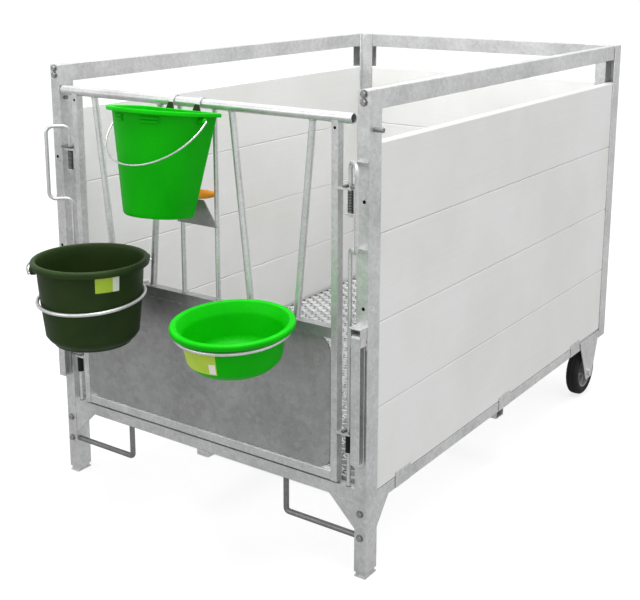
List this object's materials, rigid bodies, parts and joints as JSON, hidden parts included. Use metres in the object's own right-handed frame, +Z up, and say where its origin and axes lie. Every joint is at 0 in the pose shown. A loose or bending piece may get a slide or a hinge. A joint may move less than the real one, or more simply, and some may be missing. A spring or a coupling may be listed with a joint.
{
  "type": "calf hutch",
  "caption": "Wheeled single-calf pen with plank walls, a hinged feeding gate with slanted head bars, hung feed bucket, bowl and teat bucket, and an open grating floor.",
  "frame": {"origin": "Middle of the bounding box in plan, on the ground.", "axes": "+X to the right across the front, +Y from the gate to the rear wall, +Z up."},
  "size_m": [1.154, 2.036, 1.294],
  "materials": {
    "galvanised_steel": "hot-dip galvanised, mottled spangle",
    "floor_steel": "galvanised expanded metal, dull",
    "zinc_plated_steel": "bright zinc",
    "dark_spring_steel": "dark oiled spring wire",
    "white_plank": "satin extruded plank",
    "bright_green_plastic": "moulded, slightly glossy",
    "dark_green_plastic": "moulded, satin",
    "black_plastic": "moulded bush",
    "orange_rubber": "soft moulded teat",
    "black_rubber_tyre": "solid rubber",
    "grey_hub": "moulded hub"
  },
  "bodies": {
    "frame": {"post_front_left": "galvanised_steel", "post_front_right": "galvanised_steel", "post_rear_left": "galvanised_steel", "post_rear_right": "galvanised_steel", "top_rail_left": "galvanised_steel", "top_rail_right": "galvanised_steel", "top_rail_rear": "galvanised_steel", "base_rail_left": "galvanised_steel", "base_rail_right": "galvanised_steel", "base_rail_rear": "galvanised_steel", "leg_left": "galvanised_steel", "leg_right": "galvanised_steel", "wall_left": "white_plank", "wall_right": "white_plank", "wall_rear": "white_plank", "brace_left": "galvanised_steel", "brace_right": "galvanised_steel", "wheel_bracket_left": "galvanised_steel", "wheel_bracket_right": "galvanised_steel", "front_sill": "galvanised_steel", "bearer_long": "galvanised_steel", "bearer_cross": "galvanised_steel", "floor_grating": "floor_steel", "gussets": "galvanised_steel", "plank_clips": "galvanised_steel", "coupling_pins": "zinc_plated_steel", "frame_bolts": "zinc_plated_steel", "axles": "zinc_plated_steel", "rod_catches": "galvanised_steel", "handle_brackets": "galvanised_steel"},
    "gate": {"gate_top_tube": "galvanised_steel", "gate_upright_left": "galvanised_steel", "gate_upright_right": "galvanised_steel", "gate_panel_rail": "galvanised_steel", "gate_bottom_rail": "galvanised_steel", "gate_sheet": "galvanised_steel", "gate_head_bars": "galvanised_steel", "gate_bucket_bars": "galvanised_steel", "bucket_rest": "galvanised_steel", "gate_eyes": "galvanised_steel", "guide_bushes": "black_plastic"},
    "wheel_left": {"tyre_left": "black_rubber_tyre", "hub_left": "grey_hub"},
    "wheel_right": {"tyre_right": "black_rubber_tyre", "hub_right": "grey_hub"},
    "drop_rod_left": {"drop_rod_left": "galvanised_steel", "spring_left": "dark_spring_steel"},
    "drop_rod_right": {"drop_rod_right": "galvanised_steel", "spring_right": "dark_spring_steel"},
    "lifting_arm_left": {"lifting_arm_left": "galvanised_steel"},
    "lifting_arm_right": {"lifting_arm_right": "galvanised_steel"},
    "bucket_ring": {"bucket_ring": "galvanised_steel"},
    "bowl_ring": {"bowl_ring": "galvanised_steel"},
    "feed_bucket": {"feed_bucket": "dark_green_plastic"},
    "feed_bucket_bail": {"feed_bucket_bail": "zinc_plated_steel"},
    "feed_bowl": {"feed_bowl": "bright_green_plastic"},
    "teat_bucket": {"teat_bucket": "bright_green_plastic", "teat_bucket_hooks": "dark_green_plastic", "teat": "orange_rubber"},
    "teat_bucket_bail": {"teat_bucket_bail": "zinc_plated_steel"}
  },
  "joints": [
    {"name": "gate_swing", "type": "hinge", "parent": "frame", "child": "gate", "pos_m": [-0.51, -0.663, 0.65], "axis": [0, 0, -1], "range_deg": [0, 100]},
    {"name": "left_rod_lift", "type": "slide", "parent": "frame", "child": "drop_rod_left", "axis": [0, 0, 1], "range_m": [-0.03, 0.03], "deforming": ["spring_left"]},
    {"name": "right_rod_lift", "type": "slide", "parent": "gate", "child": "drop_rod_right", "axis": [0, 0, 1], "range_m": [-0.03, 0.03], "deforming": ["spring_right"]},
    {"name": "left_wheel_roll", "type": "hinge", "parent": "frame", "child": "wheel_left", "pos_m": [-0.5355, 0.875, 0.09], "axis": [1, 0, 0], "continuous": true},
    {"name": "right_wheel_roll", "type": "hinge", "parent": "frame", "child": "wheel_right", "pos_m": [0.5155, 0.875, 0.09], "axis": [1, 0, 0], "continuous": true},
    {"name": "left_arm_fold", "type": "hinge", "parent": "frame", "child": "lifting_arm_left", "pos_m": [-0.552, -0.689, 0.673], "axis": [1, 0, 0], "range_deg": [-90, 0]},
    {"name": "right_arm_fold", "type": "hinge", "parent": "frame", "child": "lifting_arm_right", "pos_m": [0.532, -0.689, 0.673], "axis": [1, 0, 0], "range_deg": [-90, 0]},
    {"name": "bucket_ring_unhook", "type": "slide", "parent": "gate", "child": "bucket_ring", "axis": [0, 0, 1], "range_m": [0, 0.06]},
    {"name": "bowl_ring_unhook", "type": "slide", "parent": "gate", "child": "bowl_ring", "axis": [0, 0, 1], "range_m": [0, 0.06]},
    {"name": "feed_bucket_lift", "type": "slide", "parent": "bucket_ring", "child": "feed_bucket", "axis": [0, 0, 1], "range_m": [0, 0.11]},
    {"name": "feed_bucket_bail_swing", "type": "hinge", "parent": "feed_bucket", "child": "feed_bucket_bail", "pos_m": [-0.239, -0.856, 0.78], "axis": [0.5, 0.866, 0], "range_deg": [0, 180]},
    {"name": "feed_bowl_lift", "type": "slide", "parent": "bowl_ring", "child": "feed_bowl", "axis": [0, 0, 1], "range_m": [0, 0.13]},
    {"name": "teat_bucket_unhook", "type": "slide", "parent": "gate", "child": "teat_bucket", "axis": [0, 0, 1], "range_m": [0, 0.1]},
    {"name": "teat_bucket_bail_swing", "type": "hinge", "parent": "teat_bucket", "child": "teat_bucket_bail", "pos_m": [-0.043, -0.75915, 1.19213], "axis": [-1, 0, 0], "range_deg": [0, 120]}
  ]
}
